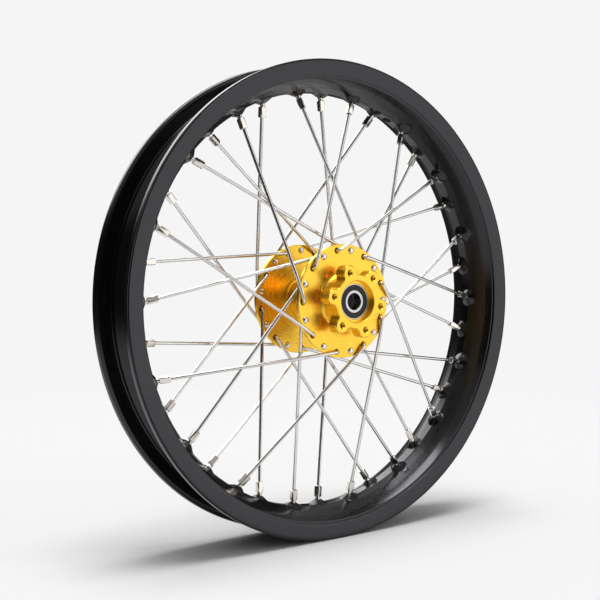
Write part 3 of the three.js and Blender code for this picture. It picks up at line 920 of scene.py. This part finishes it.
def make_spacer():
    """Turned spacer tube with chamfered ends, between the two inner rings."""
    half, outside = BEARING_MIDDLE - BEARING_HALF - 0.3, 9.8
    one_end = [(BORE_RADIUS, -half, 0.4), (outside, -half, 0.5)]
    other_end = [(radius, -y, fillet) for radius, y, fillet in reversed(one_end)]
    spacer = new_object("spacer_tube_fine", turned_ring(rounded_outline(one_end + other_end, step=45)))
    finish_piece(spacer, ALUMINIUM, "axle_core", ["bearing_spacer_tube"])


make_rim()
make_bead_knurl()
make_hub()
make_spokes()
make_bearings()
make_spacer()


# ---- Floor, light and camera --------------------------------------------------------------------

# Lengths round the wheel, here and in what follows, are in metres.
BACKGROUND = (0.913, 0.913, 0.913)
PANEL_DIRECTION = (0.10, 0.75, 0.65)
PANEL_GLOW = 4.0
ROOM_GLOW = 0.03
CAMERA_AZIMUTH = -37.91
CAMERA_ELEVATION = 2.2
CAMERA_DISTANCE = 1.0
AIM_RIGHT, AIM_UP = -0.0192, -0.00015  # from the wheel's middle to the camera's target


def make_floor():
    """Round pale floor that fades out at its edge."""
    bm = bmesh.new()
    bmesh.ops.create_circle(bm, cap_ends=True, segments=96, radius=2.4)
    mesh = bpy.data.meshes.new("floor")
    bm.to_mesh(mesh)
    bm.free()
    floor = bpy.data.objects.new("floor", mesh)
    floor.location.z = RIM_LOW.z * MM
    bpy.context.scene.collection.objects.link(floor)
    surface = Surface("floor_paper", (0.86, 0.86, 0.865), 0.0, 0.9)
    surface.shader.inputs["Specular IOR Level"].default_value = 0.1
    nodes, links = surface.nodes, surface.links
    length = nodes.new("ShaderNodeVectorMath")
    length.operation = "LENGTH"
    links.new(surface.place, length.inputs[0])
    fade = nodes.new("ShaderNodeMapRange")
    fade.interpolation_type = "SMOOTHSTEP"
    for name, value in (("From Min", 0.45), ("From Max", 1.5), ("To Min", 1.0), ("To Max", 0.0)):
        fade.inputs[name].default_value = value
    links.new(length.outputs["Value"], fade.inputs["Value"])
    links.new(fade.outputs[0], surface.shader.inputs["Alpha"])
    mesh.materials.append(surface.material)


def make_world():
    """White to the camera. In reflections, a dim room with a bright panel above and behind the wheel."""
    world = bpy.data.worlds.new("studio")
    bpy.context.scene.world = world
    world.use_nodes = True
    nodes, links = world.node_tree.nodes, world.node_tree.links
    nodes.clear()
    place = nodes.new("ShaderNodeTexCoord")
    towards_panel = nodes.new("ShaderNodeVectorMath")
    towards_panel.operation = "DOT_PRODUCT"
    towards_panel.inputs[1].default_value = PANEL_DIRECTION
    ramp = nodes.new("ShaderNodeMapRange")
    ramp.interpolation_type = "SMOOTHSTEP"
    for name, value in (("From Min", 0.83), ("From Max", 0.95), ("To Min", 0.0), ("To Max", PANEL_GLOW)):
        ramp.inputs[name].default_value = value
    path = nodes.new("ShaderNodeLightPath")
    in_reflections = nodes.new("ShaderNodeMath")
    in_reflections.operation = "MULTIPLY"
    glow = nodes.new("ShaderNodeMath")
    glow.inputs[1].default_value = ROOM_GLOW
    room = nodes.new("ShaderNodeBackground")
    backdrop = nodes.new("ShaderNodeBackground")
    backdrop.inputs["Color"].default_value = (*BACKGROUND, 1)
    mix = nodes.new("ShaderNodeMixShader")
    output = nodes.new("ShaderNodeOutputWorld")
    links.new(place.outputs["Generated"], towards_panel.inputs[0])
    links.new(towards_panel.outputs["Value"], ramp.inputs["Value"])
    links.new(ramp.outputs[0], in_reflections.inputs[0])
    links.new(path.outputs["Is Glossy Ray"], in_reflections.inputs[1])
    links.new(in_reflections.outputs[0], glow.inputs[0])
    links.new(glow.outputs[0], room.inputs["Strength"])
    world.cycles.sampling_method = "NONE"  # the panel lights nothing, and only shows in reflections
    links.new(path.outputs["Is Camera Ray"], mix.inputs["Fac"])
    links.new(room.outputs[0], mix.inputs[1])
    links.new(backdrop.outputs[0], mix.inputs[2])
    links.new(mix.outputs[0], output.inputs["Surface"])


def add_sun(name, direction, width, strength):
    """Broad soft light from far away: the way towards it, its width in degrees and its strength."""
    light = bpy.data.lights.new(name, "SUN")
    light.angle = math.radians(width)
    light.energy = strength
    lamp = bpy.data.objects.new(name, light)
    lamp.rotation_euler = Vector(direction).to_track_quat("Z", "Y").to_euler()
    bpy.context.scene.collection.objects.link(lamp)


def make_lights():
    """A key light overhead, a wide soft one round it, and a low one from the right of the camera."""
    add_sun("overhead", (0.0, -0.05, 1.0), 34, 2.25)
    add_sun("ceiling", (0.0, 0.0, 1.0), 120, 0.95)
    add_sun("front_right", (0.64, -0.77, 0.08), 60, 1.05)


def make_camera():
    """Camera a metre from the hub, to the disc side's left and a little above the axle."""
    azimuth, elevation = math.radians(CAMERA_AZIMUTH), math.radians(CAMERA_ELEVATION)
    flat = math.cos(elevation)
    towards = Vector((math.sin(azimuth) * flat, -math.cos(azimuth) * flat, math.sin(elevation)))
    place = towards * CAMERA_DISTANCE
    right = Vector((math.cos(azimuth), math.sin(azimuth), 0))
    up = right.cross(-place).normalized()
    target = right * AIM_RIGHT + up * AIM_UP
    data = bpy.data.cameras.new("camera")
    data.sensor_width = 36
    data.lens = 64.59
    camera = bpy.data.objects.new("camera", data)
    camera.location = place
    camera.rotation_euler = (target - place).to_track_quat("-Z", "Y").to_euler()
    bpy.context.scene.collection.objects.link(camera)
    bpy.context.scene.camera = camera


make_floor()
make_world()
make_lights()
make_camera()
bpy.context.scene.view_settings.view_transform = "Standard"
